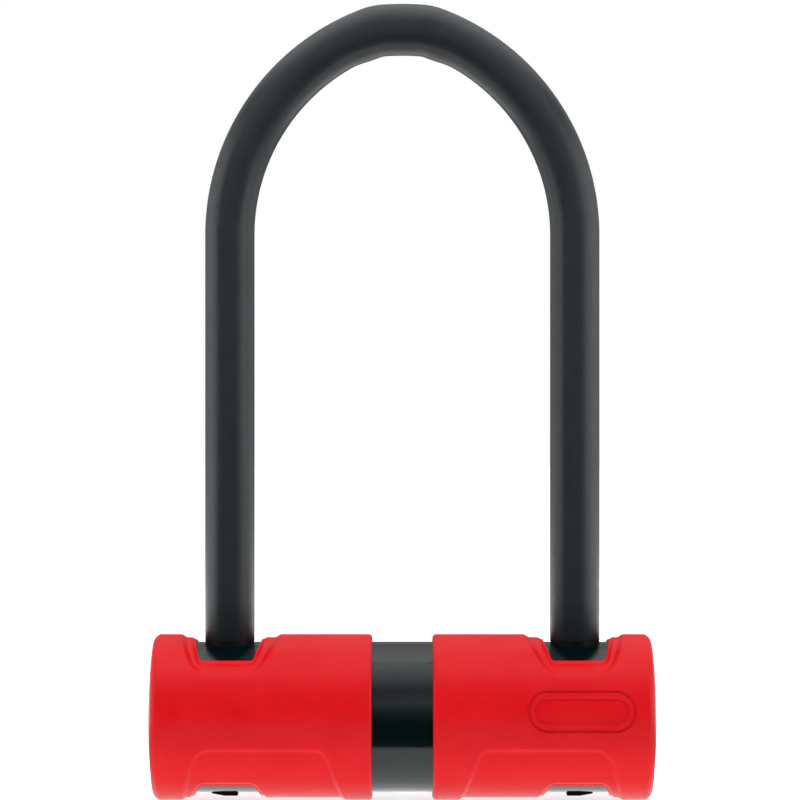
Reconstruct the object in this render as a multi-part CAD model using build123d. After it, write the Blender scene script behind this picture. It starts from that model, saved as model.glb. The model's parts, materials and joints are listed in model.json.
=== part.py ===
from build123d import *
import math
import os

# U lock. Millimetres. The origin is on the crossbar's axis at its middle, +X runs along the bar towards
# the cap with the badge in front, +Z runs up the legs and the front faces -Y.
# The lock is modelled unlocked: the shackle is fully home and both bolts are drawn back.

# ---------------------------------------------------------------- driving dimensions

# shackle
LEG_X = 57.4              # half the distance between the leg axes
STEEL_R = 7.0
COAT_R = 8.25
FOOT_Z = -14.0
FOOT_CHAMFER = 2.0
COAT_END_Z = 19.5
SHOULDER_Z = 160.4        # the legs are straight up to here
SHOULDER_R = 72.2
SHOULDER_TURN = 69.4      # degrees
KNEE_R = 16.0
CROWN_TURN = 3.6          # degrees on each side of the middle

# crossbar tube
TUBE_R = 25.0
TUBE_BORE_R = 22.0
TUBE_END_X = 80.5
LEG_HOLE_R = 8.55

# end caps
CAP_R = 27.5
CAP_BORE_R = 25.05
CAP_INNER_X = 10.0
CAP_END_X = 84.2
CAP_RIM_R = 1.2           # rounding of the inner rim
CAP_CORNER_R = 2.8        # rounding between the wall and the domed end
CAP_DOME_R = 200.0
CAP_RECESS_R = 26.7       # radius of the wall in the sunk zones around the windows
SPIGOT_R = 21.9           # ring inside the cap's end that enters the tube
SPIGOT_WALL = 3.0
SPIGOT_X = 76.2

# badge field on the cap
BADGE_X = 58.5
BADGE_Z = 4.0
BADGE_L = 35.6
BADGE_H = 13.5
BADGE_RIM = 1.3           # width of the sunk line around the plain field
BADGE_DEPTH = 0.4

# lock case
CASE_X = 20.0
CASE_R = 21.8
SPLIT_Z = 5.8             # joint between the case's base and its lid
SCREW_X = 15.5
SCREW_Y = 13.0
SCREW_R = 1.7
SCREW_FOOT_Z = -4.0
SCREW_HEAD_R = 2.9
SCREW_HEAD_Z0 = 12.0
SCREW_HEAD_Z1 = 14.4
SCREW_HEX_R = 1.3
SCREW_HEX_DEPTH = 0.6
CROSS_PIN_R = 1.5         # pin that holds the cylinder in the case
CROSS_PIN_Z = -8.0
CROSS_PIN_END_X = 7.0

# cylinder
BODY_R = 11.0
BODY_Z0 = -21.6
BODY_Z1 = 1.4
LIP_Z = -19.6             # inner face of the front lip that holds the plug
LIP_HOLE_R = 5.0
PLUG_R = 7.5
PLUG_BORE_R = 6.05
PLUG_Z0 = -19.5
PLUG_Z1 = 1.3
PLUG_CAVITY_Z1 = -1.6
TANG = 6.4                # square tang that turns the cam
TANG_Z1 = 3.9
DISC_R = 5.95
DISC_T = 1.85
SPACER_T = 0.5
DISC_COUNT = 7
CODE_STEP = 15            # degrees between two codes of a disc
GUARD_T = 1.6
KEYWAY_X = 3.0
KEYWAY_Y = 8.4
SIDEBAR_R = 1.1
SIDEBAR_AT = 6.3          # radius of the sidebar's axis while it lies in the discs' gates
SIDEBAR_ANGLE = 180       # degrees from +X, with the plug at rest
SIDEBAR_Z0 = -17.6
SIDEBAR_Z1 = -1.8

# drive cam and bolts
CAM_R = 16.6
CAM_Z0 = 1.6
CAM_Z1 = 5.6
CAM_CAVITY_R = 17.0
CAM_SCREW_HEAD_R = 4.2
CAM_SCREW_R = 1.5
CAM_SCREW_FOOT_Z = -0.5
CAM_SCREW_HEX_R = 1.6
CAM_SCREW_HEX_DEPTH = 0.9
BOLT_R = 5.5
BOLT_Z = 6.0
BOLT_TIP_X = 49.8
BOLT_SHOULDER_X = 17.4    # from here outwards the bolt is fully round
BOLT_TAIL_X = 3.4
BOLT_FLAT_Z = 5.9
BOLT_TRAVEL = 6.0
BOLT_BORE_R = 5.7
PIN_R = 1.8
PIN_X = 7.2               # distance of the drive pin from the cam's axis at rest
PIN_Z0 = 2.0
PIN_Z1 = 9.9
BOLT_TIP_CHAMFER = 0.8
BOLT_TIP_PLAY = 0.5       # free way past the tip of the thrown bolt
SLOT_HALF = 1.95
SLOT_SPARE = 2.0          # degrees of slot past each end of the turn

# sockets
SOCKET_X0 = 45.4
SOCKET_X1 = 70.4
SOCKET_BORE_R = 7.2
SOCKET_FLOOR_Z = -15.0
SEAL_Z0 = 15.0
SEAL_Z1 = 18.8
SEAL_R = 9.0
SEAL_BORE_R = 7.05
NOTCH_X = 56.3            # the notch is cut into the leg's inner side up to here
NOTCH_HALF_H = 5.8
SLEEVE_R = 8.5
PLATE_X0 = 70.6
PLATE_X1 = 75.6
END_PIN_R = 2.0
END_PIN_FOOT = 14.0

# cap catches under the bar
CATCH_X0 = 54.7
CATCH_X1 = 63.2
CATCH_HALF_W = 4.0
CATCH_DROP = 0.85         # how far the catch stands out below the tube
CATCH_THIN = 0.1          # how far its outer end stands out
CATCH_STEM_R = 2.2
CATCH_STEM_Z = -18.5

# keyhole
KEYHOLE_R = 11.2
FACE_R = 24.95            # the keyhole surround follows the tube
SHUTTER_HALF_X = 2.8
SHUTTER_HALF_Y = 6.0
SHUTTER_TRAVEL = 5.0
SHUTTER_Z0 = -23.3
SHUTTER_Z1 = -21.8
SHUTTER_FACE_Z = -24.2
SHUTTER_FACE_HALF_Y = 4.6
RIB_PITCH = 1.6
RIB_GROOVE = 0.6
RIB_DEPTH = 0.4

# play between pieces that fit into each other
FIT = 0.1
OVER = 1.0                # how far a cutter runs past what it cuts


# ---------------------------------------------------------------- small builders

def rod_x(radius, x0, x1, y=0.0, z=0.0):
    """Round bar along X."""
    return Pos((x0 + x1) / 2, y, z) * Rot(0, 90, 0) * Cylinder(radius, abs(x1 - x0))


def rod_z(radius, z0, z1, x=0.0, y=0.0):
    """Round bar along Z."""
    return Pos(x, y, (z0 + z1) / 2) * Cylinder(radius, abs(z1 - z0))


def block(x0, x1, y0, y1, z0, z1):
    """Box between two corners."""
    return Pos((x0 + x1) / 2, (y0 + y1) / 2, (z0 + z1) / 2) * Box(x1 - x0, y1 - y0, z1 - z0)


def front_outline(points, radii):
    """Face in the XZ plane through the points, with its own rounding at each corner."""
    return Plane.XZ * make_face(FilletPolyline(*points, radius=radii, close=True))


def through_y(face, depth=60.0):
    """Solid of an XZ face that runs through the whole bar from front to back."""
    return extrude(face, amount=depth / 2, dir=(0, 1, 0), both=True)


def turned(shape):
    """The same piece at the other end of the bar, turned half round the bar's middle."""
    return Rot(0, 0, 180) * shape


# ---------------------------------------------------------------- shackle

def arch_arcs():
    """Centre, radius and start and end angle of the right shoulder, the right knee and the crown."""
    shoulder = (LEG_X - SHOULDER_R, SHOULDER_Z)
    turn = math.radians(SHOULDER_TURN)
    step = SHOULDER_R - KNEE_R
    knee = (shoulder[0] + step * math.cos(turn), shoulder[1] + step * math.sin(turn))
    crown_start = math.radians(90 - CROWN_TURN)
    crown_x = knee[0] + KNEE_R * math.cos(crown_start)
    crown_r = crown_x / math.sin(math.radians(CROWN_TURN))
    crown_z = knee[1] + (KNEE_R - crown_r) * math.sin(crown_start)
    return [
        (shoulder, SHOULDER_R, 0.0, SHOULDER_TURN),
        (knee, KNEE_R, SHOULDER_TURN, 90 - CROWN_TURN),
        ((0.0, crown_z), crown_r, 90 - CROWN_TURN, 90 + CROWN_TURN),
    ]


def bend(centre, radius, start, end, section_r):
    """Round bar bent about an axis along Y."""
    a = math.radians(start)
    at = (centre[0] + radius * math.cos(a), 0.0, centre[1] + radius * math.sin(a))
    along = (-math.sin(a), 0.0, math.cos(a))
    section = Plane(origin=at, z_dir=along) * Circle(section_r)
    return revolve(section, Axis((centre[0], 0.0, centre[1]), (0, -1, 0)), end - start)


def bow(section_r, foot_z):
    """Whole bow with one section radius: two legs, two shoulders, two knees and the crown."""
    shoulder, knee, crown = [bend(*arc, section_r) for arc in arch_arcs()]
    side = rod_z(section_r, foot_z, SHOULDER_Z, x=LEG_X) + shoulder + knee
    return side + crown + mirror(side, Plane.YZ)


def shackle_bar():
    foot = Cone(STEEL_R - FOOT_CHAMFER, STEEL_R, FOOT_CHAMFER)
    wide = STEEL_R + OVER
    notch = block(LEG_X - wide, NOTCH_X, -wide, wide, BOLT_Z - NOTCH_HALF_H, BOLT_Z + NOTCH_HALF_H)
    bar = bow(STEEL_R, FOOT_Z + FOOT_CHAMFER)
    for side in (-1, 1):
        bar += Pos(side * LEG_X, 0, FOOT_Z + FOOT_CHAMFER / 2) * foot
    return bar - notch - mirror(notch, Plane.YZ)


def shackle_coating():
    return bow(COAT_R, COAT_END_Z) - bow(STEEL_R, COAT_END_Z - OVER)


# ---------------------------------------------------------------- crossbar shell

def end_pins():
    """Four radial pins that hold the end plate in the tube, hidden under the cap."""
    pins = []
    middle = (PLATE_X0 + PLATE_X1) / 2
    length = TUBE_R - FIT - END_PIN_FOOT
    for angle in (45, 135, 225, 315):
        pin = Pos(0, 0, END_PIN_FOOT + length / 2) * Cylinder(END_PIN_R, length)
        pins.append(Pos(middle, 0, 0) * Rot(angle, 0, 0) * pin)
    return pins


def catch_stem():
    return rod_z(CATCH_STEM_R, -TUBE_R, CATCH_STEM_Z, x=(CATCH_X0 + CATCH_X1) / 2)


def crossbar_tube():
    tube = rod_x(TUBE_R, -TUBE_END_X, TUBE_END_X) - rod_x(TUBE_BORE_R, -TUBE_END_X, TUBE_END_X)
    tube -= rod_z(KEYHOLE_R, -TUBE_R - OVER, -TUBE_R / 2)
    for side in (-1, 1):
        tube -= rod_z(LEG_HOLE_R, TUBE_R / 2, TUBE_R + OVER, x=side * LEG_X)
    for pin in end_pins():
        tube -= pin
        tube -= turned(pin)
    tube -= catch_stem()
    tube -= turned(catch_stem())
    return tube


def end_plate():
    plate = rod_x(TUBE_BORE_R - FIT, PLATE_X0, PLATE_X1)
    for pin in end_pins():
        plate -= pin
    return plate


def cap_catch():
    """Wedge under the bar that the cap snaps over, with a stem through the tube into the block."""
    low = -TUBE_R - CATCH_DROP
    knee = (CATCH_X0 + CATCH_X1) / 2
    side = [
        (CATCH_X0, -TUBE_R + OVER),
        (CATCH_X0, low),
        (knee, low),
        (CATCH_X1, -TUBE_R - CATCH_THIN),
        (CATCH_X1, -TUBE_R + OVER),
    ]
    wedge = Plane.XZ * make_face(Polyline(*side, close=True))
    head = extrude(wedge, amount=CATCH_HALF_W, dir=(0, 1, 0), both=True)
    head -= rod_x(TUBE_R, CATCH_X0 - OVER, CATCH_X1 + OVER)
    return head + catch_stem()


# ---------------------------------------------------------------- end cap

def cap_shell():
    """Turned body of the cap: wall, rounded rims, domed end and inner spigot."""
    sagitta = CAP_DOME_R - math.sqrt(CAP_DOME_R**2 - CAP_R**2)
    rim_mid = CAP_RIM_R * (1 - math.sqrt(0.5))
    corner = (CAP_END_X - sagitta, CAP_R)
    floor_x = TUBE_END_X + FIT
    half_angle = math.asin(CAP_R / CAP_DOME_R) / 2
    dome_mid = (CAP_END_X - CAP_DOME_R * (1 - math.cos(half_angle)), CAP_DOME_R * math.sin(half_angle))
    outer = Line((CAP_INNER_X + CAP_RIM_R, CAP_R), corner)
    dome = ThreePointArc(corner, dome_mid, (CAP_END_X, 0))
    rim = ThreePointArc(
        (CAP_INNER_X, CAP_R - CAP_RIM_R),
        (CAP_INNER_X + rim_mid, CAP_R - rim_mid),
        (CAP_INNER_X + CAP_RIM_R, CAP_R),
    )
    inner = Polyline(
        (CAP_END_X, 0),
        (floor_x, 0),
        (floor_x, SPIGOT_R - SPIGOT_WALL),
        (SPIGOT_X, SPIGOT_R - SPIGOT_WALL),
        (SPIGOT_X, SPIGOT_R),
        (floor_x, SPIGOT_R),
        (floor_x, CAP_BORE_R),
        (CAP_INNER_X, CAP_BORE_R),
        (CAP_INNER_X, CAP_R - CAP_RIM_R),
    )
    profile = make_face([outer, dome, inner, rim])
    sharp = min(profile.vertices(), key=lambda vertex: math.dist((vertex.X, vertex.Y), corner))
    return revolve(fillet(sharp, CAP_CORNER_R), Axis.X, 360)


def top_zone():
    """Sunk zone around the leg's window, seen from the front."""
    return front_outline(
        [(41.0, CAP_R + 0.5), (48.2, 15.6), (68.0, 15.6), (72.8, CAP_R + 0.5)],
        [0.5, 3.0, 5.0, 0.5],
    )


def top_window():
    return front_outline(
        [(45.8, CAP_R + 0.5), (49.2, 19.8), (66.7, 19.8), (69.3, CAP_R + 0.5)],
        [0.5, 2.2, 2.2, 0.5],
    )


def bottom_zone():
    """Larger sunk zone under the bar, with one long slanting side towards the middle."""
    return front_outline(
        [(19.2, -CAP_R - 0.5), (26.0, -9.0), (67.7, -9.0), (72.7, -CAP_R - 0.5)],
        [0.5, 2.5, 5.0, 0.5],
    )


def bottom_window():
    return front_outline(
        [(45.4, -CAP_R - 0.5), (48.8, -21.6), (66.8, -21.6), (70.0, -CAP_R - 0.5)],
        [0.5, 1.5, 1.5, 0.5],
    )


def badge_field():
    """Sunk line around a plain oval field on the front of the cap."""
    place = Plane(origin=(BADGE_X, -CAP_R - OVER, BADGE_Z), x_dir=(1, 0, 0), z_dir=(0, -1, 0))
    outer = SlotOverall(BADGE_L, BADGE_H)
    inner = SlotOverall(BADGE_L - 2 * BADGE_RIM, BADGE_H - 2 * BADGE_RIM)
    line = extrude(place * (outer - inner), amount=-BADGE_H)
    return line - rod_x(CAP_R - BADGE_DEPTH, CAP_INNER_X, CAP_END_X)


def end_cap():
    """The cap at the right end. The left one is the same moulding turned half round."""
    cap = cap_shell()
    core = rod_x(CAP_RECESS_R, CAP_INNER_X, CAP_END_X)
    cap -= through_y(top_zone()) - core
    cap -= through_y(bottom_zone()) - core
    cap -= through_y(top_window())
    cap -= through_y(bottom_window())
    cap -= badge_field()
    return cap


# ---------------------------------------------------------------- sockets and seals

def socket_block():
    """Steel block in the tube that takes the foot of the leg."""
    socket = rod_x(TUBE_BORE_R - FIT, SOCKET_X0, SOCKET_X1)
    socket -= rod_z(SOCKET_BORE_R, SOCKET_FLOOR_Z, TUBE_R, x=LEG_X)
    socket -= rod_z(SEAL_R + FIT, SEAL_Z0, TUBE_R, x=LEG_X)
    socket -= rod_x(BOLT_BORE_R, SOCKET_X0 - OVER, BOLT_TIP_X + BOLT_TRAVEL + BOLT_TIP_PLAY, z=BOLT_Z)
    socket -= catch_stem()
    return socket


def entry_seal():
    """Rubber ring that wipes the foot as it goes in."""
    return rod_z(SEAL_R, SEAL_Z0, SEAL_Z1, x=LEG_X) - rod_z(SEAL_BORE_R, SEAL_Z0, SEAL_Z1, x=LEG_X)


def bolt_sleeve():
    """Steel tube that guides and shields the bolt between the case and the socket."""
    x0 = CASE_X + FIT
    x1 = SOCKET_X0 - FIT
    return rod_x(SLEEVE_R, x0, x1, z=BOLT_Z) - rod_x(BOLT_BORE_R, x0, x1, z=BOLT_Z)


# ---------------------------------------------------------------- lock case

def screw_places():
    return [(x * SCREW_X, y * SCREW_Y) for x in (-1, 1) for y in (-1, 1)]


def cylinder_pin():
    """Cross pin that holds the cylinder in the case."""
    return rod_x(CROSS_PIN_R, -CASE_X, CROSS_PIN_END_X, y=BODY_R, z=CROSS_PIN_Z)


def case_base():
    base = rod_x(CASE_R, -CASE_X, CASE_X) - block(-TUBE_R, TUBE_R, -TUBE_R, TUBE_R, SPLIT_Z, TUBE_R)
    base -= rod_z(CAM_CAVITY_R, BODY_Z1 + FIT, SPLIT_Z + OVER)
    base -= rod_z(BODY_R + FIT / 2, -TUBE_R, SPLIT_Z)
    for side in (-1, 1):
        base -= rod_x(BOLT_BORE_R, side * CAM_R, side * (CASE_X + OVER), z=BOLT_Z)
    base -= cylinder_pin()
    for x, y in screw_places():
        base -= rod_z(SCREW_R, SCREW_FOOT_Z - FIT, SPLIT_Z + OVER, x=x, y=y)
    return base


def case_lid():
    lid = rod_x(CASE_R, -CASE_X, CASE_X) - block(-TUBE_R, TUBE_R, -TUBE_R, TUBE_R, -TUBE_R, SPLIT_Z)
    lid -= rod_x(BOLT_BORE_R, -CASE_X - OVER, CASE_X + OVER, z=BOLT_Z)
    for x, y in screw_places():
        lid -= rod_z(SCREW_R + FIT, SPLIT_Z - OVER, TUBE_R, x=x, y=y)
        lid -= rod_z(SCREW_HEAD_R + 2 * FIT, SCREW_HEAD_Z0, TUBE_R, x=x, y=y)
    return lid


def case_screws():
    screws = []
    for x, y in screw_places():
        shank = rod_z(SCREW_R, SCREW_FOOT_Z, SCREW_HEAD_Z0, x=x, y=y)
        head = rod_z(SCREW_HEAD_R, SCREW_HEAD_Z0, SCREW_HEAD_Z1, x=x, y=y)
        hexagon = extrude(RegularPolygon(SCREW_HEX_R, 6), amount=OVER)
        screws.append(shank + head - Pos(x, y, SCREW_HEAD_Z1 - SCREW_HEX_DEPTH) * hexagon)
    return screws


# ---------------------------------------------------------------- cylinder and cam

def sidebar_rod(radius, out=0.0, angle=SIDEBAR_ANGLE):
    """Rod in the sidebar's place, or further out from the plug's axis or at another angle."""
    length = SIDEBAR_Z1 - SIDEBAR_Z0 + 2 * (radius - SIDEBAR_R)
    rod = Pos(SIDEBAR_AT + out, 0, (SIDEBAR_Z0 + SIDEBAR_Z1) / 2) * Cylinder(radius, length)
    return Rot(0, 0, angle) * rod


def keyway_slot(z0, z1):
    return Pos(0, 0, (z0 + z1) / 2) * Box(KEYWAY_X, KEYWAY_Y, z1 - z0)


def cylinder_body():
    """Fixed barrel. Its groove takes the sidebar when the plug has turned a quarter and the key is out."""
    body = rod_z(BODY_R, BODY_Z0, BODY_Z1)
    body -= rod_z(PLUG_R + FIT / 2, LIP_Z, BODY_Z1 + OVER)
    body -= rod_z(LIP_HOLE_R, BODY_Z0 - OVER, LIP_Z + OVER)
    groove = sidebar_rod(SIDEBAR_R + FIT, out=SIDEBAR_R, angle=SIDEBAR_ANGLE + 90)
    return body - groove - cylinder_pin()


def cylinder_plug():
    """Turning barrel, open at the front for the discs and with a square tang for the cam."""
    half = TANG / 2
    play = FIT / 2
    plug = rod_z(PLUG_R, PLUG_Z0, PLUG_Z1) + block(-half, half, -half, half, PLUG_Z1 - play, TANG_Z1)
    plug -= rod_z(PLUG_BORE_R, PLUG_Z0 - OVER, PLUG_CAVITY_Z1)
    slot_half = SIDEBAR_R + play
    plug -= block(-PLUG_R - OVER, -PLUG_R / 2, -slot_half, slot_half, SIDEBAR_Z0 - play, SIDEBAR_Z1 + play)
    return plug - rod_z(CAM_SCREW_R, CAM_SCREW_FOOT_Z - FIT, TANG_Z1 + OVER)


def drill_guard():
    """Hard front disc with the keyway."""
    z1 = disc_level(0)
    return rod_z(DISC_R, z1 - GUARD_T, z1) - keyway_slot(z1 - GUARD_T - OVER, z1 + OVER)


def disc_level(index):
    """Lower face of a disc in the stack."""
    return PLUG_Z0 + FIT + GUARD_T + index * (DISC_T + SPACER_T)


def detainer_discs():
    """Coded discs with their gates in line under the sidebar, so each key slot sits at its own angle."""
    discs = []
    for index in range(DISC_COUNT):
        z0 = disc_level(index)
        code = CODE_STEP * ((3 * index) % DISC_COUNT)
        disc = rod_z(DISC_R, z0, z0 + DISC_T)
        disc -= Rot(0, 0, code) * keyway_slot(z0 - OVER, z0 + DISC_T + OVER)
        discs.append(disc - sidebar_rod(SIDEBAR_R + FIT / 2))
    return discs


def disc_spacers():
    spacers = []
    for index in range(DISC_COUNT - 1):
        z0 = disc_level(index) + DISC_T
        spacer = rod_z(DISC_R, z0, z0 + SPACER_T) - rod_z(KEYWAY_Y / 2, z0, z0 + SPACER_T)
        spacers.append(spacer - sidebar_rod(SIDEBAR_R + FIT / 2))
    return spacers


def slot_edge(turn, offset):
    """Point on the cam slot, offset sideways from the line on which the radius grows evenly with the turn."""
    a = math.radians(turn)
    growth = BOLT_TRAVEL / (math.pi / 2)
    radius = PIN_X + growth * a
    along = Vector(growth * math.cos(a) - radius * math.sin(a), -growth * math.sin(a) - radius * math.cos(a))
    sideways = Vector(-along.Y, along.X).normalized()
    return Vector(radius * math.cos(a), -radius * math.sin(a)) + sideways * offset


def cam_slot():
    """Spiral slot with round ends."""
    steps = 6
    turns = [-SLOT_SPARE + i * (90 + 2 * SLOT_SPARE) / steps for i in range(steps + 1)]
    one = [slot_edge(turn, SLOT_HALF) for turn in turns]
    other = [slot_edge(turn, -SLOT_HALF) for turn in turns]
    ends = []
    for index, push in ((0, -1), (-1, 1)):
        middle = (one[index] + other[index]) * 0.5
        across = one[index] - middle
        tip = middle - Vector(-across.Y, across.X) * push
        ends.append(ThreePointArc(one[index], tip, other[index]))
    outline = make_face([Spline(*one), ends[1], Spline(*other), ends[0]])
    return Pos(0, 0, CAM_Z0 - OVER) * extrude(outline, amount=CAM_Z1 - CAM_Z0 + 2 * OVER)


def drive_cam():
    """Disc on the plug's tang, with one spiral slot for each bolt's drive pin."""
    half = TANG / 2
    cam = rod_z(CAM_R, CAM_Z0, CAM_Z1)
    cam -= block(-half, half, -half, half, CAM_Z0 - OVER, TANG_Z1 + FIT)
    cam -= rod_z(CAM_SCREW_HEAD_R + 2 * FIT, TANG_Z1 + FIT, CAM_Z1 + OVER)
    slot = cam_slot()
    return cam - slot - turned(slot)


def cam_screw():
    top = CAM_Z1 - FIT
    head = rod_z(CAM_SCREW_HEAD_R, TANG_Z1 + FIT, top)
    shank = rod_z(CAM_SCREW_R, CAM_SCREW_FOOT_Z, TANG_Z1 + FIT)
    hexagon = extrude(RegularPolygon(CAM_SCREW_HEX_R, 6), amount=2 * OVER)
    return head + shank - Pos(0, 0, top - CAM_SCREW_HEX_DEPTH) * hexagon


# ---------------------------------------------------------------- bolts

def drive_pin():
    return rod_z(PIN_R, PIN_Z0, PIN_Z1, x=PIN_X)


def lock_bolt():
    """Round bolt with a flat-bottomed tail that runs over the cam."""
    bolt = rod_x(BOLT_R, BOLT_TAIL_X, BOLT_TIP_X, z=BOLT_Z)
    tip = bolt.faces().sort_by(Axis.X)[-1].edges()
    bolt = chamfer(tip, BOLT_TIP_CHAMFER)
    wide = BOLT_R + OVER
    bolt -= block(BOLT_TAIL_X - OVER, BOLT_SHOULDER_X, -wide, wide, BOLT_Z - wide, BOLT_FLAT_Z)
    return bolt - drive_pin()


# ---------------------------------------------------------------- keyhole surround and shutter

def keyhole_escutcheon():
    """Plug in the tube's keyhole, flush with the tube, with grooves for the shutter."""
    ring = rod_z(KEYHOLE_R - FIT, -TUBE_R, SHUTTER_Z1 + FIT) - rod_x(CASE_R + FIT, -KEYHOLE_R, KEYHOLE_R)
    ring = ring & rod_x(FACE_R, -KEYHOLE_R, KEYHOLE_R)
    x0 = -SHUTTER_HALF_X - 2 * FIT
    x1 = SHUTTER_HALF_X + SHUTTER_TRAVEL + 2 * FIT
    groove = SHUTTER_HALF_Y + 1.5 * FIT
    mouth = SHUTTER_FACE_HALF_Y + 2 * FIT
    ring -= block(x0, x1, -groove, groove, SHUTTER_Z0 - FIT, BODY_Z0 + OVER)
    return ring - block(x0, x1, -mouth, mouth, -TUBE_R - OVER, BODY_Z0 + OVER)


def keyhole_shutter():
    """Sliding plate over the keyway with a ribbed thumb face."""
    plate = block(-SHUTTER_HALF_X, SHUTTER_HALF_X, -SHUTTER_HALF_Y, SHUTTER_HALF_Y, SHUTTER_Z0, SHUTTER_Z1)
    face_y = SHUTTER_FACE_HALF_Y
    face = block(-SHUTTER_HALF_X, SHUTTER_HALF_X, -face_y, face_y, SHUTTER_FACE_Z, SHUTTER_Z0)
    shutter = plate + face
    wide = face_y + OVER
    for x in (-RIB_PITCH, 0, RIB_PITCH):
        x0 = x - RIB_GROOVE / 2
        x1 = x + RIB_GROOVE / 2
        shutter -= block(x0, x1, -wide, wide, SHUTTER_FACE_Z - OVER, SHUTTER_FACE_Z + RIB_DEPTH)
    return shutter


# ---------------------------------------------------------------- export

def nodes():
    cap = end_cap()
    plate = end_plate()
    socket = socket_block()
    seal = entry_seal()
    catch = cap_catch()
    sleeve = bolt_sleeve()
    bolt = lock_bolt()
    pins = end_pins()
    return {
        "shackle_bar": shackle_bar(),
        "shackle_coating": shackle_coating(),
        "crossbar_tube": crossbar_tube(),
        "right_end_cap": cap,
        "left_end_cap": turned(cap),
        "right_end_plate": plate,
        "left_end_plate": turned(plate),
        "right_end_pins": Compound(children=pins),
        "left_end_pins": Compound(children=[turned(pin) for pin in pins]),
        "right_socket_block": socket,
        "left_socket_block": turned(socket),
        "right_entry_seal": seal,
        "left_entry_seal": turned(seal),
        "right_cap_catch": catch,
        "left_cap_catch": turned(catch),
        "right_bolt_sleeve": sleeve,
        "left_bolt_sleeve": turned(sleeve),
        "case_base": case_base(),
        "case_lid": case_lid(),
        "case_screws": Compound(children=case_screws()),
        "cylinder_body": cylinder_body(),
        "cylinder_pin": cylinder_pin(),
        "keyhole_escutcheon": keyhole_escutcheon(),
        "cylinder_plug": cylinder_plug(),
        "drill_guard": drill_guard(),
        "detainer_discs": Compound(children=detainer_discs()),
        "disc_spacers": Compound(children=disc_spacers()),
        "sidebar": sidebar_rod(SIDEBAR_R),
        "drive_cam": drive_cam(),
        "cam_screw": cam_screw(),
        "right_bolt": bolt,
        "left_bolt": turned(bolt),
        "right_bolt_pin": drive_pin(),
        "left_bolt_pin": turned(drive_pin()),
        "keyhole_shutter": keyhole_shutter(),
    }


os.makedirs("parts", exist_ok=True)
for name, shape in nodes().items():
    export_step(shape, f"parts/{name}.step")
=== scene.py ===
import json
import math

import bmesh
import bpy
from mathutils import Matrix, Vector


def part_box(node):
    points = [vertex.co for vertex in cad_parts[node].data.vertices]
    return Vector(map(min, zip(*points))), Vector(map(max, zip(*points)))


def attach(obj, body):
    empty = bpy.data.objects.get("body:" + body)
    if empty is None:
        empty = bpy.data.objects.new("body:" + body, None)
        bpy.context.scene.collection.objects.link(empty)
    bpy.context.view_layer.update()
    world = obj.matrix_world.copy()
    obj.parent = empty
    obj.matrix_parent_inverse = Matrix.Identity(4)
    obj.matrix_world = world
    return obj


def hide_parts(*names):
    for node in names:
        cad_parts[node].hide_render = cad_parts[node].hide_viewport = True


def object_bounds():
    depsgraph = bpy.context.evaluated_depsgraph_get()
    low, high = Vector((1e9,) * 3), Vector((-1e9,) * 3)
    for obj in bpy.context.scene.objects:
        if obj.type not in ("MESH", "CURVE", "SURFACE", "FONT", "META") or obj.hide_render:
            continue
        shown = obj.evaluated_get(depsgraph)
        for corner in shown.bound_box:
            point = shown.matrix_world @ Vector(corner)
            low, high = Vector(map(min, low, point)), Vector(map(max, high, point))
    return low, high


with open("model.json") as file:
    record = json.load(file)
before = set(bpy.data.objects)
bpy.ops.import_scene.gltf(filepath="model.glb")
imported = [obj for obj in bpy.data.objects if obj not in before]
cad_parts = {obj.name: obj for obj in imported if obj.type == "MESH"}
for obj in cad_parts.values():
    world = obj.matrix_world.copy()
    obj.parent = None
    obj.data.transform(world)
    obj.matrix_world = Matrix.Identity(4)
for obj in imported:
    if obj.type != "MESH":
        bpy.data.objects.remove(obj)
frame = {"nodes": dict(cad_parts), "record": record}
cad_low, cad_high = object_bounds()

MM = 0.001
coat_low, coat_high = (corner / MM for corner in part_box("shackle_coating"))
cap_low, cap_high = (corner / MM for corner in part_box("right_end_cap"))

# shackle, in millimetres
COAT_R = coat_high.y
LEG_X = coat_high.x - COAT_R
BAR_R = 7.0
LIP_R = 0.4                  # rounding of the coat's lower lip
COAT_END_Z = 25.3            # a moulded collar goes on from here down to the seal
COAT_SHADE_HEIGHT = 14.0              # the coat's reflection is turned down over this height at its lower ends, a painted shade where the legs meet the bar
COLLAR_R = 8.15
COLLAR_END_Z = coat_low.z
SHOULDER_Z = 160.4
SHOULDER_R = 72.2
SHOULDER_TURN = 69.4         # degrees
KNEE_R = 16.0
CROWN_TURN = 3.6             # degrees on each side of the middle
CROWN_THICKER = 0.8          # the coat's extra thickness under the crown
CROWN_FADE_X = (9.0, 17.0)   # that extra thickness goes back to nothing over this distance from the middle
CROWN_MIDDLE_Z = coat_high.z - COAT_R
LEG_SHADE_HALF = (8.3, 17.0)      # half the size, along X and Y, of the painted shade patch on the tube round each leg, where the enamel's reflection is turned down
LEG_SHADE_LOW_Z = (4.0, 6.0)      # the painted shade patches end over this height, so the tube's lower side has none

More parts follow.
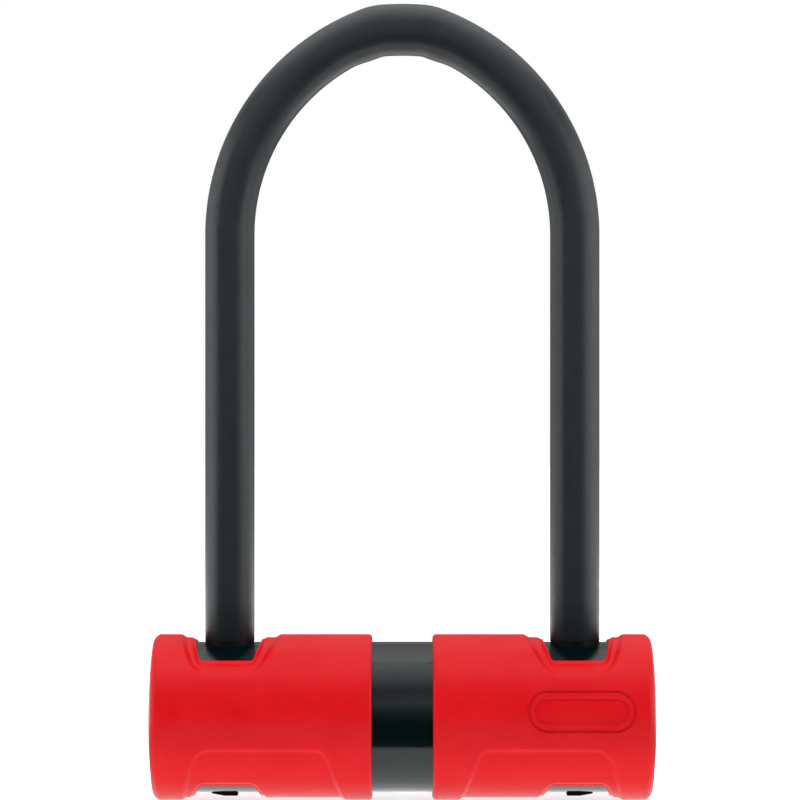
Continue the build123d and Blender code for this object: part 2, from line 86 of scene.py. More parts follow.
# end caps, in millimetres
CAP_R = cap_high.z
CAP_BORE_R = 25.05
CAP_INNER_X = cap_low.x
CAP_END_X = cap_high.x
CAP_RIM_R = 1.2
CAP_CORNER_R = 2.8           # rounding between the wall and the domed end
CAP_CREASE = 30.0            # degrees; the wall meets the rounding in a soft crease of this angle
CAP_DOME_R = 200.0
DOME_LEAN = math.asin((CAP_R - CAP_CORNER_R) / CAP_DOME_R)
CAP_CORNER_X = CAP_END_X - CAP_DOME_R * (1 - math.cos(DOME_LEAN)) - CAP_CORNER_R * math.cos(DOME_LEAN)
CAP_FLOOR_X = 80.55
CAP_SEGMENTS = 288
CAP_RING_STEP = 0.6
TOP_ZONE_DEPTH = 1.0
BOTTOM_ZONE_DEPTH = 0.8
ZONE_SLOPE = 2.0             # width of the soft step down into a sunk zone
WINDOW_ROUND = 1.1           # width of the rounding at the window's outer edge
WINDOW_DROP = 0.6            # how far the rounding falls at the edge itself
BADGE_X = 58.5
BADGE_Z = 4.0
BADGE_L = 35.6
BADGE_H = 13.5
BADGE_LINE = 0.9             # width of the sunk line round the badge
BADGE_LINE_DEPTH = 0.5
BADGE_FIELD_IN = 2.4         # the sunk field starts this far inside the line's outer edge
BADGE_FIELD_DEPTH = 0.6
TOP_FADE_Z = (13.5, 21.0)    # the top zone comes up to the full wall over this height
DEEPEST = 2.0                # the displacement that a vertex weight of 1 stands for

# corners seen from the front, (x, z), from the open side down one edge and up the other,
# with the two corner roundings
TOP_ZONE = ([(41.0, 28.0), (48.2, 15.6), (68.0, 15.6), (72.8, 28.0)], (3.0, 5.0))
TOP_WINDOW = ([(45.8, 28.0), (49.2, 19.8), (66.7, 19.8), (69.3, 28.0)], (1.0, 1.4))
BOTTOM_ZONE = ([(19.2, -28.0), (26.0, -9.0), (67.7, -9.0), (72.7, -28.0)], (2.5, 5.0))
BOTTOM_WINDOW = ([(45.4, -28.0), (48.8, -21.6), (66.8, -21.6), (70.0, -28.0)], (1.5, 1.5))

# studio, in metres; glow levels follow the angle from the front in degrees
TABLE_CARD_Z = -0.226
TABLE_FRONT_Y = -0.258
TABLE_BACK_Y = 0.9
OVERHEAD_GLOW = [
    (0, 0.06), (9, 0.12), (26, 0.55), (45, 0.36), (65, 1.05), (98, 1.9), (118, 1.2), (140, 0.45), (180, 0.15),
]
SIDE_GLOW = [(40, 1.5), (75, 1.9), (100, 1.7), (125, 0.7), (180, 0.3)]


# ---------------------------------------------------------------- finishes

class Finish:
    """One material: a shader with helpers that add detail to its sockets."""

    def __init__(self, name, colour, roughness, metallic=0.0):
        self.material = bpy.data.materials.new(name)
        self.material.use_nodes = True
        self.tree = self.material.node_tree
        self.shader = self.tree.nodes["Principled BSDF"]
        self.set("Base Color", (*colour, 1.0))
        self.set("Roughness", roughness)
        self.set("Metallic", metallic)
        self.place = self.add("ShaderNodeTexCoord").outputs["Object"]
        self.last_bump = None

    def set(self, socket, value):
        self.shader.inputs[socket].default_value = value

    def add(self, kind, **inputs):
        made = self.tree.nodes.new(kind)
        for socket, value in inputs.items():
            made.inputs[socket.replace("_", " ")].default_value = value
        return made

    def join(self, output, target):
        self.tree.links.new(output, target)

    def noise(self, scale, detail=3.0, stretch=(1.0, 1.0, 1.0), rough=0.55):
        """Noise of `scale` cells per metre on the piece's own coordinates."""
        spread = self.add("ShaderNodeMapping", Scale=stretch)
        texture = self.add("ShaderNodeTexNoise", Scale=scale, Detail=detail, Roughness=rough)
        self.join(self.place, spread.inputs["Vector"])
        self.join(spread.outputs["Vector"], texture.inputs["Vector"])
        return texture.outputs["Fac"]

    def span(self, value, low, high, start=0.3, end=0.7):
        """The value's range start..end spread over low..high."""
        spread = self.add("ShaderNodeMapRange")
        for socket, number in zip(("From Min", "From Max", "To Min", "To Max"), (start, end, low, high)):
            spread.inputs[socket].default_value = number
        self.join(value, spread.inputs["Value"])
        return spread.outputs["Result"]

    def vary_colour(self, value, first, second, start=0.35, end=0.65):
        ramp = self.add("ShaderNodeValToRGB")
        ramp.color_ramp.elements[0].position = start
        ramp.color_ramp.elements[1].position = end
        ramp.color_ramp.elements[0].color = (*first, 1.0)
        ramp.color_ramp.elements[1].color = (*second, 1.0)
        self.join(value, ramp.inputs["Fac"])
        self.join(ramp.outputs["Color"], self.shader.inputs["Base Color"])

    def vary_roughness(self, value, low, high):
        self.join(self.span(value, low, high), self.shader.inputs["Roughness"])

    def height(self):
        axes = self.add("ShaderNodeSeparateXYZ")
        self.join(self.place, axes.inputs["Vector"])
        return axes.outputs["Z"]

    def vector(self, operation, value, other=(0.0, 0.0, 0.0)):
        """The outputs of one step of vector arithmetic on `value`."""
        made = self.add("ShaderNodeVectorMath")
        made.operation = operation
        made.inputs[1].default_value = other
        self.join(value, made.inputs[0])
        return made.outputs

    def painted_leg_shade(self):
        """1 on the two oval patches of painted shade round the legs, standing in for the legs' shadow and
        reflection on the tube, on the upper side only.
        """
        mirrored = self.vector("ABSOLUTE", self.place)["Vector"]
        shifted = self.vector("SUBTRACT", mirrored, (LEG_X * MM, 0.0, 0.0))["Vector"]
        scaled = self.vector("MULTIPLY", shifted, (*(1 / (half * MM) for half in LEG_SHADE_HALF), 0.0))["Vector"]
        reach = self.vector("LENGTH", scaled)["Value"]
        both = self.add("ShaderNodeMath")
        both.operation = "MULTIPLY"
        self.join(self.span(reach, 1.0, 0.0, 0.93, 1.05), both.inputs[0])
        self.join(self.span(self.height(), 0.0, 1.0, *(z * MM for z in LEG_SHADE_LOW_Z)), both.inputs[1])
        return both.outputs["Value"]

    def vary_gloss(self, value, low, high, start, end):
        """Spreads the value's range start..end over the strength of the reflection."""
        self.join(self.span(value, low, high, start, end), self.shader.inputs["Specular IOR Level"])

    def bump(self, value, height_mm, strength=1.0):
        made = self.add("ShaderNodeBump", Strength=strength, Distance=height_mm * MM)
        self.join(value, made.inputs["Height"])
        if self.last_bump:
            self.join(self.last_bump, made.inputs["Normal"])
        self.last_bump = made.outputs["Normal"]
        self.join(self.last_bump, self.shader.inputs["Normal"])


def moulded_red():
    """Semi-gloss red cap plastic with a faint moulding texture and a little depth to its colour."""
    finish = Finish("moulded red plastic", (0.48, 0.002, 0.005), 0.36)
    finish.set("Subsurface Weight", 0.12)
    finish.set("Subsurface Radius", (1.0, 0.12, 0.1))
    finish.set("Subsurface Scale", 1.2 * MM)
    finish.vary_colour(finish.noise(90, 4), (0.465, 0.0015, 0.004), (0.49, 0.003, 0.006))
    finish.set("Specular IOR Level", 0.16)
    finish.vary_roughness(finish.noise(420, 4), 0.32, 0.42)
    finish.bump(finish.noise(2600, 3), 0.012)
    finish.bump(finish.noise(60, 2), 0.08)
    return finish.material


def dipped_vinyl():
    """Satin black vinyl on the shackle, with slight runs and fine pitting, and its reflection turned down at its
    lower ends as painted shade.
    """
    finish = Finish("dipped black vinyl", (0.0075, 0.012, 0.0137), 0.38)
    finish.vary_colour(finish.noise(120, 4), (0.0065, 0.0108, 0.0125), (0.0085, 0.0132, 0.015))
    finish.vary_roughness(finish.noise(300, 5), 0.34, 0.44)
    finish.bump(finish.noise(1500, 4), 0.016)
    finish.bump(finish.noise(70, 3, (1.0, 1.0, 0.35)), 0.10)
    # painted shade: less reflection towards the coat's lower ends, so the legs darken near the bar
    finish.vary_gloss(finish.height(), 0.10, 0.5, COAT_END_Z * MM, (COAT_END_Z + COAT_SHADE_HEIGHT) * MM)
    return finish.material


def gloss_enamel():
    """Deep gloss black enamel on the crossbar, with faint orange peel, and its reflection turned down round the
    legs as painted shade.
    """
    finish = Finish("gloss black enamel", (0.0008, 0.0038, 0.0046), 0.15)
    finish.vary_colour(finish.noise(60, 3), (0.0006, 0.0034, 0.0042), (0.0010, 0.0042, 0.0050))
    finish.vary_roughness(finish.noise(200, 4), 0.12, 0.17)
    finish.bump(finish.noise(380, 2), 0.012)
    # painted shade: the enamel's reflection is turned down on ovals round the legs to stand in for the legs'
    # shadow on the tube
    finish.vary_gloss(finish.painted_leg_shade(), 0.5, 0.03, 0.0, 1.0)
    return finish.material


def bare_steel():
    """Ground hardened steel: grey, with fine turning marks round the bar."""
    finish = Finish("ground hardened steel", (0.42, 0.43, 0.44), 0.34, 1.0)
    finish.vary_colour(finish.noise(160, 5), (0.36, 0.37, 0.39), (0.48, 0.49, 0.50))
    finish.vary_roughness(finish.noise(500, 4), 0.27, 0.42)
    finish.bump(finish.noise(900, 3, (0.15, 0.15, 3.0)), 0.008)
    return finish.material


def turned_brass():
    finish = Finish("turned brass", (0.72, 0.50, 0.20), 0.28, 1.0)
    finish.vary_colour(finish.noise(200, 4), (0.64, 0.43, 0.16), (0.78, 0.56, 0.25))
    finish.vary_roughness(finish.noise(600, 4), 0.22, 0.38)
    finish.bump(finish.noise(1200, 3, (0.2, 0.2, 2.5)), 0.006)
    return finish.material


def cast_zinc():
    finish = Finish("cast zinc alloy", (0.46, 0.46, 0.47), 0.5, 1.0)
    finish.vary_colour(finish.noise(250, 5), (0.38, 0.38, 0.39), (0.52, 0.52, 0.53))
    finish.vary_roughness(finish.noise(700, 4), 0.42, 0.60)
    finish.bump(finish.noise(1400, 5), 0.03)
    return finish.material


def wiper_rubber():
    finish = Finish("black wiper rubber", (0.020, 0.020, 0.021), 0.72)
    finish.vary_colour(finish.noise(300, 4), (0.016, 0.016, 0.017), (0.028, 0.028, 0.029))
    finish.vary_roughness(finish.noise(500, 4), 0.66, 0.82)
    finish.bump(finish.noise(1800, 4), 0.02)
    return finish.material


def moulded_black():
    finish = Finish("moulded black plastic", (0.002, 0.002, 0.0023), 0.42)
    finish.vary_colour(finish.noise(150, 4), (0.0015, 0.0015, 0.0018), (0.003, 0.003, 0.0034))
    finish.set("Specular IOR Level", 0.2)
    finish.vary_roughness(finish.noise(500, 4), 0.36, 0.50)
    finish.bump(finish.noise(2200, 4), 0.014)
    return finish.material


def zinc_plate():
    finish = Finish("bright zinc plate", (0.40, 0.41, 0.44), 0.30, 1.0)
    finish.vary_colour(finish.noise(220, 4), (0.36, 0.37, 0.41), (0.44, 0.44, 0.45))
    finish.vary_roughness(finish.noise(600, 4), 0.20, 0.34)
    finish.bump(finish.noise(1500, 3), 0.006)
    return finish.material


FINISHES = {
    "hardened_steel": bare_steel(),
    "black_coating": dipped_vinyl(),
    "black_enamel": gloss_enamel(),
    "red_cap_plastic": moulded_red(),
    "black_plastic": moulded_black(),
    "cast_case": cast_zinc(),
    "brass": turned_brass(),
    "seal_rubber": wiper_rubber(),
    "zinc_plated_steel": zinc_plate(),
}


def wear(piece, slot):
    """Gives a piece the finish of one material slot."""
    piece.data.materials.clear()
    piece.data.materials.append(FINISHES[slot])


def finish_cad_nodes():
    """The record names each node's slot. Only the keyhole surround is painted over with the tube."""
    for part in frame["record"]["subparts"]:
        wear(frame["nodes"][part["node"]], part["material_slot"])
    wear(frame["nodes"]["keyhole_escutcheon"], "black_enamel")


# ---------------------------------------------------------------- modelling helpers

def only(piece):
    """Makes one piece the only selected one."""
    bpy.ops.object.select_all(action="DESELECT")
    piece.select_set(True)
    bpy.context.view_layer.objects.active = piece


def pick(piece, kind, wanted):
    """Selects only the vertices, edges or faces that the test wants."""
    bpy.ops.mesh.select_mode(type={"verts": "VERT", "edges": "EDGE", "faces": "FACE"}[kind])
    bpy.ops.mesh.select_all(action="DESELECT")
    mesh = bmesh.from_edit_mesh(piece.data)
    for element in getattr(mesh, kind):
        if wanted(element):
            element.select_set(True)
    bmesh.update_edit_mesh(piece.data)


def start_ring(name, radius, place, turn=(0.0, 0.0, 0.0), segments=64, fill="NOTHING"):
    """A new piece that is one ring, left in edit mode with the ring selected. Sizes in millimetres."""
    bpy.ops.object.select_all(action="DESELECT")
    bpy.ops.mesh.primitive_circle_add(
        vertices=segments, radius=radius * MM, fill_type=fill, location=Vector(place) * MM, rotation=turn
    )
    piece = bpy.context.object
    piece.name = name
    piece.data.name = name
    bpy.ops.object.transform_apply(location=True, rotation=True, scale=True)
    bpy.ops.object.mode_set(mode="EDIT")
    bpy.ops.mesh.select_all(action="SELECT")
    if fill != "NOTHING":
        bpy.ops.mesh.region_to_loop()
    return piece


def pull(shift):
    """Extrudes the selected ring by a shift in millimetres."""
    bpy.ops.mesh.extrude_edges_move(TRANSFORM_OT_translate={"value": Vector(shift) * MM})


def swell(factors, centre):
    bpy.ops.transform.resize(value=factors, center_override=Vector(centre) * MM)


def close_up():
    """Closes the selected ring at one point in its middle."""
    bpy.ops.mesh.extrude_edges_move(TRANSFORM_OT_translate={"value": (0.0, 0.0, 0.0)})
    bpy.ops.mesh.merge(type="CENTER")


def end_modelling(piece, smooth_degrees):
    """Leaves edit mode with normals outwards and soft shading up to an angle."""
    bpy.ops.mesh.select_all(action="SELECT")
    bpy.ops.mesh.remove_doubles(threshold=0.001 * MM)
    bpy.ops.mesh.normals_make_consistent(inside=False)
    bpy.ops.object.mode_set(mode="OBJECT")
    only(piece)
    bpy.ops.object.shade_smooth_by_angle(angle=math.radians(smooth_degrees))


def rise(value, low, high):
    """0 below low, 1 above high, with a soft ramp between."""
    part = min(max((value - low) / (high - low), 0.0), 1.0)
    return part * part * (3 - 2 * part)


def press(piece, depth_at, deepest):
    """Presses the surface in along its normals, by a depth in millimetres at each point."""
    group = piece.vertex_groups.new(name="pressed in")
    for vertex in piece.data.vertices:
        depth = depth_at(vertex.co)
        if depth > 0.001:
            group.add([vertex.index], depth / abs(deepest), "REPLACE")
    only(piece)
    shaper = piece.modifiers.new("press", "DISPLACE")
    shaper.vertex_group = group.name
    shaper.direction = "NORMAL"
    shaper.mid_level = 0.0
    shaper.strength = -deepest * MM
    bpy.ops.object.modifier_apply(modifier=shaper.name)
    piece.vertex_groups.clear()


def join_frame(piece, body, slot, *nodes):
    """Ties a modelled piece to its body, its material slot and the nodes that it stands for."""
    wear(piece, slot)
    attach(piece, body)
    if nodes:
        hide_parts(*nodes)


# ---------------------------------------------------------------- shackle coat

def coat_bends():
    """(centre x, centre z, degrees, steps) of the five bends from the right leg to the left."""
    turn = math.radians(SHOULDER_TURN)
    shoulder_x = LEG_X - SHOULDER_R
    knee_x = shoulder_x + (SHOULDER_R - KNEE_R) * math.cos(turn)
    knee_z = SHOULDER_Z + (SHOULDER_R - KNEE_R) * math.sin(turn)
    lean = math.radians(CROWN_TURN)
    crown_r = (knee_x + KNEE_R * math.sin(lean)) / math.sin(lean)
    crown_z = knee_z + (KNEE_R - crown_r) * math.cos(lean)
    knee_turn = 90 - SHOULDER_TURN - CROWN_TURN
    return [
        (shoulder_x, SHOULDER_Z, SHOULDER_TURN, 52),
        (knee_x, knee_z, knee_turn, 14),
        (0.0, crown_z, 2 * CROWN_TURN, 10),
        (-knee_x, knee_z, knee_turn, 14),
        (-shoulder_x, SHOULDER_Z, SHOULDER_TURN, 52),
    ]


def coat_lip(x, z):
    """Rounds the open end of the coat and turns it in against the bar."""
    radius = COAT_R
    for step in range(1, 5):
        angle = step * math.pi / 8
        next_radius = COAT_R - LIP_R * (1 - math.cos(angle))
        drop = LIP_R * (math.sin(angle) - math.sin(angle - math.pi / 8))
        pull((0, 0, -drop))
        z -= drop
        swell((next_radius / radius, next_radius / radius, 1), (x, 0, z))
        radius = next_radius
    pull((0, 0, 0))
    swell((BAR_R / radius, BAR_R / radius, 1), (x, 0, z))
    pull((0, 0, 3))
    bpy.ops.mesh.edge_face_add()


def under_crown(point):
    """How much thicker the coat is at a point: it is thickest along the underside of the crown."""
    x, _, z = point / MM
    below = rise(CROWN_MIDDLE_Z - z, 0.0, COAT_R)
    return CROWN_THICKER * below * (1 - rise(abs(x), *CROWN_FADE_X))


def shackle_coat():
    straight_z = COAT_END_Z + LIP_R
    coat = start_ring("shackle_coat", COAT_R, (LEG_X, 0, straight_z), segments=72)
    steps = 12
    for _ in range(steps):
        pull((0, 0, (SHOULDER_Z - straight_z) / steps))
    for x, z, degrees, count in coat_bends():
        bpy.ops.mesh.spin(steps=count, angle=math.radians(degrees), center=(x * MM, 0, z * MM), axis=(0, 1, 0))
    for _ in range(steps):
        pull((0, 0, -(SHOULDER_Z - straight_z) / steps))
    coat_lip(-LEG_X, straight_z)
    pick(coat, "edges", lambda edge: edge.is_boundary)
    coat_lip(LEG_X, straight_z)
    end_modelling(coat, 50)
    press(coat, under_crown, -CROWN_THICKER)
    join_frame(coat, "shackle", "black_coating", "shackle_coating")


def leg_collar(name, x):
    """Smooth black collar under the coat, with a tapered foot that finds the hole in the bar."""
    collar = start_ring(name, COLLAR_R, (x, 0, COAT_END_Z + 0.6), segments=72)
    radius, z = COLLAR_R, COAT_END_Z + 0.6
    for next_radius, next_z in [
        (COLLAR_R, COAT_END_Z), (COLLAR_R, 22.0), (COLLAR_R - 0.05, 20.6), (COLLAR_R - 0.3, 19.9),
        (COLLAR_R - 0.6, COLLAR_END_Z), (BAR_R, COLLAR_END_Z), (BAR_R, COLLAR_END_Z + 2.0),
    ]:
        pull((0, 0, next_z - z))
        swell((next_radius / radius, next_radius / radius, 1), (x, 0, next_z))
        radius, z = next_radius, next_z
    close_up()
    pick(collar, "edges", lambda edge: edge.is_boundary)
    bpy.ops.mesh.edge_face_add()
    end_modelling(collar, 40)
    join_frame(collar, "shackle", "black_plastic")


# ---------------------------------------------------------------- end caps

def depth_inside(outline, x, z):
    """How far a point on the wall is inside an outline of three sides, negative outside it."""
    corners, roundings = outline
    rounding = roundings[0] if x < (corners[1][0] + corners[2][0]) / 2 else roundings[1]
    way = 1 if corners[0][1] > corners[1][1] else -1
    sides = []
    for start, end in zip(corners, corners[1:]):
        run = Vector((end[0] - start[0], end[1] - start[1])).normalized()
        sides.append(way * ((x - start[0]) * run.y - (z - start[1]) * run.x) + rounding)
    beyond = math.sqrt(sum(max(side, 0.0) ** 2 for side in sides))
    return rounding - beyond - min(max(sides), 0.0)


def badge_outline(x, z):
    """How far a point on the front is inside the badge's long oval, negative outside it."""
    half_run = (BADGE_L - BADGE_H) / 2
    return BADGE_H / 2 - math.hypot(max(abs(x - BADGE_X) - half_run, 0.0), z - BADGE_Z)


def sunk(x, y, z):
    """How far the wall of the cap is pressed in at a point of it, in millimetres."""
    top, bottom = (
        rise(depth_inside(zone, x, z), -ZONE_SLOPE / 2, ZONE_SLOPE / 2) for zone in (TOP_ZONE, BOTTOM_ZONE)
    )
    zones = max(TOP_ZONE_DEPTH * top * rise(z, *TOP_FADE_Z), BOTTOM_ZONE_DEPTH * bottom)
    near = max(depth_inside(window, x, z) for window in (TOP_WINDOW, BOTTOM_WINDOW))
    part = min(max(1 + near / WINDOW_ROUND, 0.0), 1.0)
    rounded = WINDOW_DROP * part * part
    return zones + rounded + (badge_depth(x, z) if y < 0 else 0.0)


def badge_depth(x, z):
    """A sunk line round the badge, a level border inside it, and a plain sunk field."""
    inside = badge_outline(x, z)
    line = rise(inside, -0.15, 0.15) * (1 - rise(inside, BADGE_LINE - 0.2, BADGE_LINE + 0.2))
    field = rise(inside, BADGE_FIELD_IN - 0.15, BADGE_FIELD_IN + 0.15)
    return BADGE_LINE_DEPTH * line + BADGE_FIELD_DEPTH * field


def cap_profile():
    """(x, r) along the outside of the cap, from its inner rim to near the middle of its domed end."""
    quarter = [step * math.pi / 12 for step in range(1, 7)]
    start = CAP_INNER_X + CAP_RIM_R
    crease = math.radians(CAP_CREASE)
    wall_end = CAP_CORNER_X + CAP_CORNER_R * math.tan(crease / 2)
    count = round((wall_end - start) / CAP_RING_STEP)
    profile = [(CAP_INNER_X, CAP_R - CAP_RIM_R)]
    profile += [(start - CAP_RIM_R * math.cos(a), CAP_R - CAP_RIM_R * (1 - math.sin(a))) for a in quarter]
    profile += [(start + (wall_end - start) * step / count, CAP_R) for step in range(1, count)]
    profile += [(wall_end - 0.12, CAP_R), (wall_end + 0.08, CAP_R - 0.045)]
    turns = [crease + step * (math.pi / 2 - DOME_LEAN - crease) / 7 for step in range(8)]
    profile += [
        (CAP_CORNER_X + CAP_CORNER_R * math.sin(a), CAP_R - CAP_CORNER_R * (1 - math.cos(a))) for a in turns
    ]
    inward = [profile[-1][1] * part for part in (0.93, 0.85, 0.76, 0.66, 0.55, 0.43, 0.3, 0.18, 0.07)]
    return profile + [(CAP_END_X - radius**2 / 2 / CAP_DOME_R, radius) for radius in inward]


def cap_blank():
    """The cap as one closed turned body, before its zones are pressed in."""
    cap = start_ring(
        "right_cap", CAP_BORE_R, (CAP_FLOOR_X, 0, 0), (0, math.pi / 2, 0), CAP_SEGMENTS, fill="NGON"
    )
    x, radius = CAP_FLOOR_X, CAP_BORE_R
    for next_x, next_radius in [(CAP_INNER_X, CAP_BORE_R), *cap_profile()]:
        pull((next_x - x, 0, 0))
        swell((1, next_radius / radius, next_radius / radius), (next_x, 0, 0))
        x, radius = next_x, next_radius
    close_up()
    bpy.ops.mesh.select_all(action="SELECT")
    bpy.ops.mesh.normals_make_consistent(inside=False)
    return cap


def on_wall(point):
    return math.hypot(point.y, point.z) > (CAP_R - 0.3) * MM and point.x < CAP_CORNER_X * MM


def needs_detail(point):
    """True on the soft steps and round the windows."""
    x, y, z = point / MM
    edges = [abs(depth_inside(zone, x, z)) for zone in (TOP_ZONE, BOTTOM_ZONE)]
    windows = [abs(depth_inside(window, x, z) + WINDOW_ROUND / 2) for window in (TOP_WINDOW, BOTTOM_WINDOW)]
    return min(edges) < 1.2 or min(windows) < 1.1


def on_badge_edge(point):
    x, y, z = point / MM
    return y < 0 and abs(badge_outline(x, z) - BADGE_FIELD_IN / 2) < BADGE_FIELD_IN / 2 + 0.5


def refine_cap(cap):
    """Divides the faces of the outer wall finely where its shape changes."""
    pick(cap, "faces", lambda f: on_wall(f.calc_center_median()) and needs_detail(f.calc_center_median()))
    bpy.ops.mesh.subdivide(number_cuts=1, smoothness=0.0)
    pick(cap, "faces", lambda f: on_wall(f.calc_center_median()) and on_badge_edge(f.calc_center_median()))
    bpy.ops.mesh.subdivide(number_cuts=3, smoothness=0.0)
    pick(cap, "faces", lambda f: len(f.verts) > 4 and on_wall(f.calc_center_median()))
    bpy.ops.mesh.quads_convert_to_tris()
    bpy.ops.object.mode_set(mode="OBJECT")


def window_cutter(outline):
    """A prism through the cap with the outline of one window."""
    corners, roundings = outline
    middle = Vector((sum(x for x, _ in corners) / 4, 0, sum(z for _, z in corners) / 4)) * MM
    half = 40 * MM
    way = 1 if corners[0][1] > corners[1][1] else -1
    bpy.ops.object.select_all(action="DESELECT")
    bpy.ops.mesh.primitive_cube_add(size=2 * half, location=middle)
    cutter = bpy.context.object
    bpy.ops.object.transform_apply(location=True, rotation=True, scale=True)
    bpy.ops.object.mode_set(mode="EDIT")
    sides = [(-1, way), (-1, -way), (1, -way), (1, way)]
    for (x, z), (across, up) in zip(corners, sides):
        start = middle + Vector((across, 0, up)) * half
        pick(cutter, "verts", lambda v: math.hypot(v.co.x - start.x, v.co.z - start.z) < 0.1 * MM)
        bpy.ops.transform.translate(value=(x * MM - start.x, 0, z * MM - start.z))
    for (x, z), rounding in zip(corners[1:3], roundings):
        corner = Vector((x * MM, 0, z * MM))
        pick(
            cutter,
            "edges",
            lambda e: all(math.hypot(v.co.x - corner.x, v.co.z - corner.z) < 0.1 * MM for v in e.verts),
        )
        bpy.ops.mesh.bevel(offset=0.75 * rounding * MM, segments=6, affect="EDGES")
    bpy.ops.mesh.select_all(action="SELECT")
    bpy.ops.mesh.normals_make_consistent(inside=False)
    bpy.ops.object.mode_set(mode="OBJECT")
    return cutter


def cut(piece, cutter):
    only(piece)
    opening = piece.modifiers.new("opening", "BOOLEAN")
    opening.operation = "DIFFERENCE"
    opening.solver = "EXACT"
    opening.object = cutter
    bpy.ops.object.modifier_apply(modifier=opening.name)
    bpy.data.objects.remove(cutter)


def end_caps():
    """The right cap, and the left one as the same moulding turned half round."""
    cap = cap_blank()
    refine_cap(cap)
    press(cap, lambda point: sunk(*(point / MM)) if on_wall(point) else 0.0, DEEPEST)
    cut(cap, window_cutter(TOP_WINDOW))
    cut(cap, window_cutter(BOTTOM_WINDOW))
    only(cap)
    bpy.ops.object.shade_smooth_by_angle(angle=math.radians(38))
    join_frame(cap, "crossbar", "red_cap_plastic", "right_end_cap")
    only(cap)
    bpy.ops.object.duplicate(linked=False)
    other = bpy.context.object
    other.name = other.data.name = "left_cap"
    other.rotation_euler = (0, 0, math.pi)
    bpy.ops.object.transform_apply(location=True, rotation=True, scale=True)
    join_frame(other, "crossbar", "red_cap_plastic", "left_end_cap")


# ---------------------------------------------------------------- stage

def emitter(name, strength=1.0):
    """A glowing stage material, and its emission node."""
    material = bpy.data.materials.new(name)
    material.use_nodes = True
    tree = material.node_tree
    tree.nodes.clear()
    glow = tree.nodes.new("ShaderNodeEmission")
    out = tree.nodes.new("ShaderNodeOutputMaterial")
    tree.links.new(glow.outputs[0], out.inputs[0])
    glow.inputs["Strength"].default_value = strength
    return material, glow


def graded_emitter(name, axis, levels, full_turn=180):
    """A glow that follows (degrees, level) pairs by the angle from the front, round the X or Z axis."""
    material, glow = emitter(name)
    tree = material.node_tree
    place = tree.nodes.new("ShaderNodeTexCoord")
    split = tree.nodes.new("ShaderNodeSeparateXYZ")
    forward, size, angle, part = (tree.nodes.new("ShaderNodeMath") for _ in range(4))
    forward.operation, forward.inputs[1].default_value = "MULTIPLY", -1.0
    size.operation = "ABSOLUTE"
    angle.operation = "ARCTAN2"
    part.operation, part.inputs[1].default_value = "DIVIDE", math.radians(full_turn)
    ramp = tree.nodes.new("ShaderNodeValToRGB").color_ramp
    while len(ramp.elements) < len(levels):
        ramp.elements.new(0.5)
    for element, (degrees, level) in zip(ramp.elements, levels):
        element.position = degrees / full_turn
        element.color = (level, level, level, 1.0)
    tree.links.new(place.outputs["Object"], split.inputs[0])
    tree.links.new(split.outputs["Y"], forward.inputs[0])
    tree.links.new(split.outputs["Z" if axis == "X" else "X"], size.inputs[0])
    tree.links.new(size.outputs[0], angle.inputs[0])
    tree.links.new(forward.outputs[0], angle.inputs[1])
    tree.links.new(angle.outputs[0], part.inputs[0])
    tree.links.new(part.outputs[0], tree.nodes["Color Ramp"].inputs["Fac"])
    tree.links.new(tree.nodes["Color Ramp"].outputs["Color"], glow.inputs["Color"])
    return material


def bent_card(name, radius, start, end, axis, low, high, material):
    """A reflector bent round the X or Z axis between two angles, seen only in gloss. Angle 0 is the front."""
    bpy.ops.object.select_all(action="DESELECT")
    bpy.ops.mesh.primitive_plane_add(size=1)
    card = bpy.context.object
    card.name = name
    bpy.ops.object.mode_set(mode="EDIT")
    bpy.ops.mesh.subdivide(number_cuts=40)
    bpy.ops.object.mode_set(mode="OBJECT")
    for vertex in card.data.vertices:
        angle = math.radians(start + (end - start) * (vertex.co.x + 0.5))
        along = low + (high - low) * (vertex.co.y + 0.5)
        if axis == "X":
            vertex.co = (along, -radius * math.cos(angle), radius * math.sin(angle))
        else:
            vertex.co = (radius * math.sin(angle), -radius * math.cos(angle), along)
    card.data.materials.append(material)
    gloss_only(card)


def gloss_only(card):
    card.visible_camera = False
    card.visible_diffuse = False
    card.visible_transmission = False
    card.visible_volume_scatter = False
    card.visible_shadow = False


def flat_card(name, size, place, material, turn=(0.0, 0.0, 0.0)):
    """A flat stage sheet, in metres, that only gloss sees."""
    bpy.ops.object.select_all(action="DESELECT")
    bpy.ops.mesh.primitive_plane_add(size=1, location=place, rotation=turn)
    card = bpy.context.object
    card.name = name
    card.scale = (*size, 1)
    bpy.ops.object.transform_apply(location=True, rotation=True, scale=True)
    card.data.materials.append(material)
    gloss_only(card)
    return card


def show_one_side(material, shader, front):
    """Shows the shader on the sheet's front or back only. The other side is clear."""
    tree = material.node_tree
    side = tree.nodes.new("ShaderNodeNewGeometry")
    clear = tree.nodes.new("ShaderNodeBsdfTransparent")
    either = tree.nodes.new("ShaderNodeMixShader")
    tree.links.new(side.outputs["Backfacing"], either.inputs["Fac"])
    tree.links.new(shader.outputs[0], either.inputs[1 if front else 2])
    tree.links.new(clear.outputs[0], either.inputs[2 if front else 1])
    tree.links.new(either.outputs[0], tree.nodes["Material Output"].inputs["Surface"])


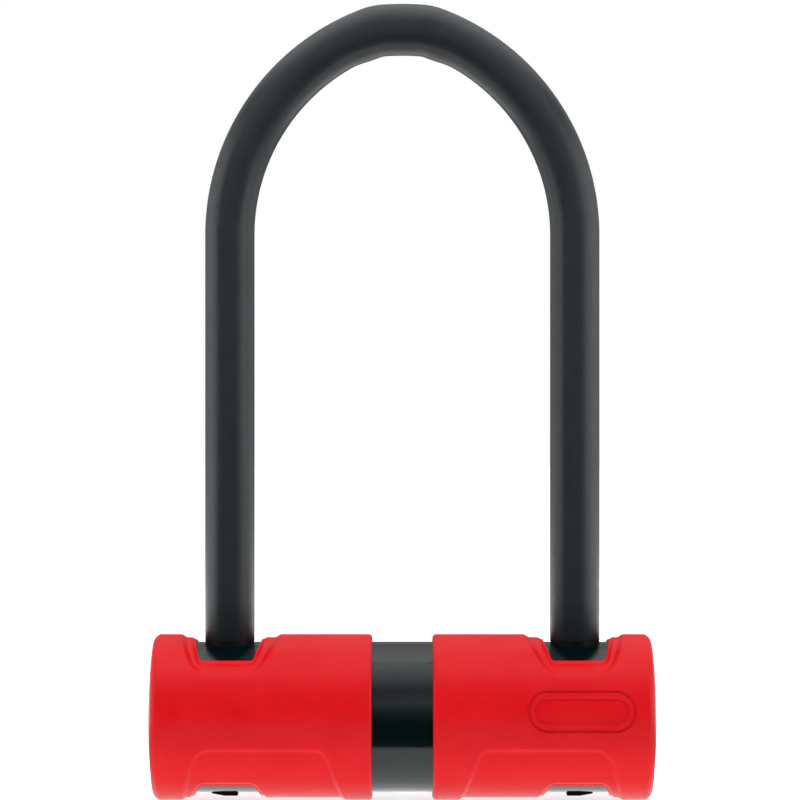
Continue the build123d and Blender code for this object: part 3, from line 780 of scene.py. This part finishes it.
def pale_floor():
    """A pale sheet under the lock that shows from above only, so the underside can be seen too."""
    bpy.ops.object.select_all(action="DESELECT")
    bpy.ops.mesh.primitive_plane_add(size=12, location=(0, 0, cad_low.z - 0.0002))
    floor = bpy.context.object
    floor.name = "floor"
    material = bpy.data.materials.new("pale floor")
    material.use_nodes = True
    shader = material.node_tree.nodes["Principled BSDF"]
    shader.inputs["Base Color"].default_value = (0.50, 0.50, 0.50, 1.0)
    shader.inputs["Roughness"].default_value = 0.9
    shader.inputs["Emission Color"].default_value = (1, 1, 1, 1)
    shader.inputs["Emission Strength"].default_value = 0.72
    show_one_side(material, shader, front=True)
    floor.data.materials.append(material)
    floor.visible_glossy = False
    floor.visible_shadow = False


def table_card():
    """The white table as the gloss sees it, with a clear front edge."""
    size = (1.2, TABLE_BACK_Y - TABLE_FRONT_Y)
    place = (0, (TABLE_BACK_Y + TABLE_FRONT_Y) / 2, TABLE_CARD_Z)
    flat_card("table_card", size, place, emitter("table glow", strength=1.35)[0])


def crown_card():
    """A small card right under the crown, seen from below only, that keeps the crown out of the tube's gloss."""
    material, glow = emitter("crown glow", strength=1.8)
    show_one_side(material, glow, front=False)
    flat_card("crown_card", (0.024, 0.018), (0, 0, (coat_high.z - 2 * COAT_R - 1.8) * MM), material)


def front_flag():
    """A grey flag behind the camera that keeps the front of the lock a little darker than its top."""
    grey = emitter("flag grey", strength=0.05)[0]
    flag = flat_card("front_flag", (4.0, 1.8), (0, -1.5, 0.35), grey, turn=(math.pi / 2, 0, 0))
    flag.visible_glossy = False
    flag.visible_diffuse = True


def soft_light(name, place, size, watts, target=(0, 0, 0.08)):
    data = bpy.data.lights.new(name, "AREA")
    data.shape = "RECTANGLE"
    data.size, data.size_y = size
    data.energy = watts
    light = bpy.data.objects.new(name, data)
    bpy.context.scene.collection.objects.link(light)
    light.location = place
    light.rotation_euler = (Vector(target) - Vector(place)).to_track_quat("-Z", "Y").to_euler()
    light.visible_glossy = False


def studio():
    world = bpy.data.worlds.new("studio")
    bpy.context.scene.world = world
    world.use_nodes = True
    world.node_tree.nodes["Background"].inputs["Color"].default_value = (1, 1, 1, 1)
    world.node_tree.nodes["Background"].inputs["Strength"].default_value = 1.0
    world.cycles_visibility.glossy = False
    bpy.context.scene.view_settings.view_transform = "Standard"
    pale_floor()
    table_card()
    bent_card("overhead_card", 0.85, 0, 180, "X", -0.7, 0.7, graded_emitter("overhead glow", "X", OVERHEAD_GLOW))
    side = graded_emitter("side glow", "Z", SIDE_GLOW)
    bent_card("left_card", 0.65, -62, -150, "Z", -0.02, 0.5, side)
    bent_card("right_card", 0.65, 47, 150, "Z", -0.02, 0.5, side)
    low = emitter("low side glow", strength=2.4)[0]
    bent_card("low_left_card", 0.30, -75, -165, "Z", -0.03, 0.035, low)
    bent_card("low_right_card", 0.30, 75, 165, "Z", -0.03, 0.035, low)
    crown_card()
    front_flag()
    soft_light("top_light", (0.0, -0.25, 1.0), (0.9, 0.7), 12.0)
    soft_light("low_light", (0.0, -0.35, -0.6), (0.9, 0.5), 4.3, (0, 0, 0))


def camera():
    data = bpy.data.cameras.new("camera")
    data.sensor_width = 36
    data.lens = 162.16
    eye = bpy.data.objects.new("camera", data)
    bpy.context.scene.collection.objects.link(eye)
    eye.location = (-0.00077, -1.2, 0.1055)
    eye.rotation_euler = (math.pi / 2, 0, 0)
    bpy.context.scene.camera = eye


camera()
studio()
finish_cad_nodes()
shackle_coat()
leg_collar("right_leg_collar", LEG_X)
leg_collar("left_leg_collar", -LEG_X)
end_caps()
